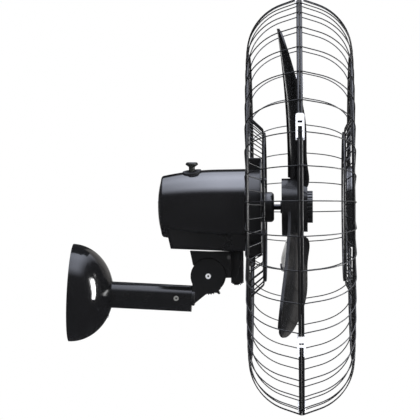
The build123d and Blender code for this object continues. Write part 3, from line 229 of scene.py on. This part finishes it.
def powder_coat(name, shade, roughness, peel=1.0, edge=0.0006, gloss=0.5, coat=0.15):
    """Baked powder on steel: a fine orange peel, and gloss that changes slowly over the piece."""
    material, place = new_material(name)
    slow = place.node("ShaderNodeTexNoise", {}, {"Vector": place, "Scale": 38.0, "Detail": 3.0})
    fine = place.node("ShaderNodeTexNoise", {}, {"Vector": place, "Scale": 620.0, "Detail": 2.0})
    values = {"Strength": 0.12 * peel, "Distance": 0.00012, "Height": fine}
    paint = slow.mix(shade, times(1.35, shade))
    if edge:
        values["Normal"] = rounded(place, edge)
        # Sharp edges are painted lighter: partly rubbed paint, partly a painted highlight along the edge.
        paint = rubbed_and_highlit_edges(place, edge).mix(paint, times(3.0, shade))
    bump = place.node("ShaderNodeBump", {}, values)
    surface(place, {
        "Base Color": paint, "Roughness": roughness - 0.05 + slow * 0.1,
        "Specular IOR Level": gloss, "Coat Weight": coat, "Coat Roughness": 0.12, "Normal": bump})
    return material


black = (0.0068, 0.0068, 0.007)
dress(powder_coat("bracket_paint", black, 0.35), "wall_bracket")


def moulded(name, shade, roughness, coat=0.0, grain=0.0, mottle=1.2, edge=0.0005, gloss=0.5):
    """A moulded skin: flow marks in its gloss, from the shade to mottle times it, and an eroded grain."""
    material, place = new_material(name)
    marks = place.node("ShaderNodeTexNoise", {}, {
        "Vector": place, "Scale": 24.0, "Detail": 4.0, "Distortion": 0.6})
    pits = place.node("ShaderNodeTexNoise", {}, {"Vector": place, "Scale": 1500.0, "Detail": 2.0})
    bump = place.node("ShaderNodeBump", {}, {
        "Strength": 0.02 + grain, "Distance": 0.0001, "Height": pits, "Normal": rounded(place, edge)})
    surface(place, {
        "Base Color": marks.mix(shade, times(mottle, shade)), "Roughness": roughness - 0.04 + marks * 0.08,
        "Specular IOR Level": gloss, "Coat Weight": coat, "Coat Roughness": 0.04, "Normal": bump})
    return material


dress(moulded("terminal_nylon", (0.78, 0.77, 0.72), 0.42, grain=0.05, mottle=0.93), "terminal_block")


def plated(name, shade, roughness):
    """Plated or bare metal: fine tool marks, and a slow clouding of the plating."""
    material, place = new_material(name)
    cloud = place.node("ShaderNodeTexNoise", {}, {"Vector": place, "Scale": 140.0, "Detail": 4.0})
    marks = place.node("ShaderNodeTexNoise", {}, {"Vector": place, "Scale": 900.0, "Detail": 3.0})
    bump = place.node("ShaderNodeBump", {}, {"Strength": 0.15, "Distance": 0.00006, "Height": marks})
    surface(place, {
        "Base Color": cloud.mix(times(0.72, shade), shade), "Metallic": 1.0,
        "Roughness": roughness - 0.06 + cloud * 0.14, "Normal": bump})
    return material


zinc = plated("zinc_plate", (0.66, 0.67, 0.68), 0.3)
dress(zinc, "terminal_screws")

# ---- arm and canopy ---------------------------------------------------------------------
# The arm is steel tube in gloss black. The dome that hides the bracket is moulded in gloss
# black plastic with a collar that slides on the arm, where a grub screw from below holds it.
dress(powder_coat("tube_paint", black, 0.18, peel=0.5, gloss=0.3, coat=0.0), "arm_tube")
dress(moulded("dome_plastic", black, 0.11, gloss=0.3), "canopy")
blacked_steel = plated("blacked_steel", (0.09, 0.09, 0.095), 0.34)
dress(blacked_steel, "canopy_screw")

# ---- elbow and tilt joint ---------------------------------------------------------------
# The elbow is a casting in satin black, pushed into the tube and held by two screws. The head
# tilts on a plated socket bolt with a washer and a nut behind, in steps of 8 degrees by teeth.
# The dark disc at a socket screw's axis is painted shade in place of the socket's hole.
socket_radius, socket_painted_shade = 0.0013, (0.004, 0.004, 0.004)


def axis_of(name):
    """The middle of a piece's box."""
    low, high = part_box(name)
    return tuple((a + b) / 2 for a, b in zip(low, high))


def flaked(name, shade, axis=None):
    """Zinc flake baked on a screw: a pale matt film, with a dark disc round an axis along Y that is painted
    shade standing in for the socket's hole.
    """
    material, place = new_material(name)
    flakes = place.node("ShaderNodeTexVoronoi", {}, {"Vector": place, "Scale": 1400.0}, "Distance")
    stains = place.node("ShaderNodeTexNoise", {}, {"Vector": place, "Scale": 420.0, "Detail": 3.0})
    bump = place.node("ShaderNodeBump", {}, {
        "Strength": 0.15, "Distance": 0.00008, "Height": flakes, "Normal": rounded(place, 0.0003)})
    film = stains.mix(times(0.8, shade), shade)
    if axis:
        level = place.node("ShaderNodeVectorMath", {"operation": "MULTIPLY"}, {0: place, 1: (1.0, 0.0, 1.0)})
        away = place.node("ShaderNodeVectorMath", {"operation": "DISTANCE"}, {
            0: level, 1: (axis[0], 0.0, axis[2])}, "Value")
        film = away.between(socket_radius * 0.85, socket_radius * 1.1).mix(socket_painted_shade, film)
    surface(place, {"Base Color": film, "Metallic": 0.35, "Roughness": 0.5 + flakes * 0.15, "Normal": bump})
    return material


joint_enamel = moulded("joint_enamel", black, 0.36, coat=0.2, grain=0.1, edge=0.0007)
dress(joint_enamel, "elbow")
dress(flaked("dull_zinc", (0.24, 0.24, 0.22), axis_of("arm_screws")), "arm_screws")
dress(flaked("bright_zinc", (0.86, 0.86, 0.85), axis_of("tilt_bolt")), "tilt_bolt")
dress(zinc, "tilt_washer", "tilt_nut")

# ---- neck and pan joint -----------------------------------------------------------------
# The neck is a casting like the elbow. Its tongue turns between the elbow's cheeks, and a
# steel pin under the motor turns in its bronze bush, held by a washer and a spring clip.
dress(joint_enamel, "neck")
dress(flaked("neck_zinc", (0.07, 0.07, 0.068)), "neck_screws")
dress(plated("bronze", (0.55, 0.33, 0.14), 0.34), "pan_bush")
turned_steel = plated("turned_steel", (0.5, 0.5, 0.51), 0.26)
dress(turned_steel, "pan_pin", "pan_washer")
dress(blacked_steel, "pan_clip")

# ---- linkage ----------------------------------------------------------------------------
# A flat plated rod joins the neck's ear to the crank under the gearbox, so that the turning
# crank swings the head from side to side. A shoulder screw holds it to the ear.
dress(zinc, "link_rod", "link_screw", "crank")

# ---- motor ------------------------------------------------------------------------------
# An induction motor: a pack of steel sheets wound with enamelled copper, a rotor on a
# blackened shaft, two ball bearings, and cast end shields drawn together by screws.
head_origin = Vector((0.3244886, 0.0, 0.1396705))
head_tilt = math.radians(3.2)


def in_head(place):
    """A point's place in the head's own frame, with X along the shaft."""
    return place.node("ShaderNodeMapping", {"vector_type": "TEXTURE"}, {
        "Vector": place, "Location": head_origin, "Rotation": (0.0, -head_tilt, 0.0)})


bare_steel, rust_brown = (0.3, 0.3, 0.31), (0.2, 0.12, 0.08)
sheet_pack, place = new_material("sheet_pack")
place = in_head(place)
edges = place.node("ShaderNodeTexWave", {"bands_direction": "X"}, {"Vector": place, "Scale": 320.0})
cloud = place.node("ShaderNodeTexNoise", {}, {"Vector": place, "Scale": 90.0, "Detail": 5.0})
rust = cloud.between(0.5, 0.75)
bump = place.node("ShaderNodeBump", {}, {"Strength": 0.5, "Distance": 0.0002, "Height": edges})
surface(place, {
    "Base Color": rust.mix(bare_steel, rust_brown), "Metallic": 1.0 - rust * 0.6,
    "Roughness": 0.34 + rust * 0.3, "Normal": bump})
dress(sheet_pack, "stator_core", "rotor")

# The copper is painted darker in the grooves between the strands: painted shade.
strand_gap_painted_shade, strand_top = (0.22, 0.05, 0.02), (0.62, 0.22, 0.09)
enamelled, place = new_material("enamelled_copper")
place = in_head(place)
strands = place.node("ShaderNodeTexWave", {"bands_direction": "X"}, {
    "Vector": place, "Scale": 260.0, "Distortion": 3.0, "Detail": 2.0, "Detail Scale": 1.5})
bump = place.node("ShaderNodeBump", {}, {"Strength": 0.7, "Distance": 0.0004, "Height": strands})
surface(place, {
    "Base Color": strands.mix(strand_gap_painted_shade, strand_top), "Metallic": 0.8, "Roughness": 0.4 - strands * 0.12,
    "Coat Weight": 0.6, "Coat Roughness": 0.15, "Normal": bump})
dress(enamelled, "stator_winding")

# The shields' casting has a blasted grain, with smoother and darker patches where it was handled.
aluminium = (0.42, 0.42, 0.43)
cast_aluminium, place = new_material("cast_aluminium")
patches = place.node("ShaderNodeTexNoise", {}, {"Vector": place, "Scale": 60.0, "Detail": 5.0})
sand = place.node("ShaderNodeTexVoronoi", {}, {"Vector": place, "Scale": 1100.0}, "Distance")
bump = place.node("ShaderNodeBump", {}, {"Strength": 0.22, "Distance": 0.00018, "Height": sand})
surface(place, {
    "Base Color": patches.mix(times(0.7, aluminium), aluminium), "Metallic": 1.0,
    "Roughness": 0.38 + patches * 0.16, "Normal": bump})
dress(cast_aluminium, "front_shield", "rear_shield")
dress(turned_steel, "bearing_inner_rings", "bearing_outer_rings", "bearing_balls", "hub_pin")
dress(blacked_steel, "shaft")
dress(zinc, "motor_screws")

# ---- gearbox and capacitor --------------------------------------------------------------
# A worm on the shaft turns a plastic wheel, and a pinion and a large gear bring the speed
# down to that of the crank. All of it runs in grease in a moulded case on the rear shield.
dress(turned_steel, "worm", "clutch_shaft", "output_shaft")
gear_acetal = moulded("gear_acetal", (0.72, 0.71, 0.66), 0.35, grain=0.03, mottle=0.94)
dress(gear_acetal, "worm_wheel", "pinion", "output_gear")
dress(moulded("case_plastic", (0.012, 0.012, 0.0125), 0.45, grain=0.2), "gearbox_case")
dress(moulded("capacitor_plastic", (0.06, 0.062, 0.066), 0.4, grain=0.1), "capacitor")

# ---- covers and knob --------------------------------------------------------------------
# The motor's tapered cover and the skirt under it are moulded in glossy black plastic and
# held by two screws from behind. The pull knob stands in a rubber saddle on top.
dress(moulded("cover_plastic", black, 0.16, coat=1.0), "motor_cover")
dress(moulded("skirt_plastic", black, 0.28, coat=0.3), "lower_cover")
dress(zinc, "cover_screws")
dress(moulded("saddle_rubber", (0.006, 0.006, 0.0062), 0.6, grain=0.25), "knob_collar")
dress(moulded("knob_plastic", (0.019, 0.02, 0.0175), 0.42, grain=0.12), "knob")
dress(turned_steel, "knob_rod")

# ---- drum and nose ----------------------------------------------------------------------
# The drum is pressed from sheet and coated black, as the cage's two plates are. It carries
# the cage on four screws, and a moulded nose covers the front bearing.
dress(powder_coat("drum_paint", black, 0.3), "mount_drum", "rear_disc", "front_plate")
dress(blacked_steel, "cage_screws")
dress(moulded("nose_plastic", black, 0.3, coat=0.4), "nose")

# ---- cage -------------------------------------------------------------------------------
# Each half is forty bent wires welded to five rings, with a black powder coat. The front
# half has a plain round cap, and six white snap clips hold the two rims together.
wire_paint = powder_coat("wire_paint", black, 0.4, peel=0.4, edge=0.0)
dress(wire_paint, "rear_cage_wires", "rear_cage_rings", "front_cage_wires", "front_cage_rings")
dress(moulded("cap_plastic", black, 0.22, coat=0.8), "front_disc")
dress(moulded("clip_plastic", (0.8, 0.8, 0.8), 0.3, grain=0.02, mottle=0.96), "rim_clips")

# ---- blades -----------------------------------------------------------------------------
# Hub and three blades are one moulding in smooth black plastic. A ribbed nut on the shaft's
# thread clamps it against the cross pin.
dress(moulded("blade_plastic", black, 0.2, coat=0.15, gloss=0.25), "blade_set")
dress(moulded("nut_plastic", (0.0095, 0.0095, 0.0098), 0.34, coat=0.3, grain=0.06), "spinner_nut")
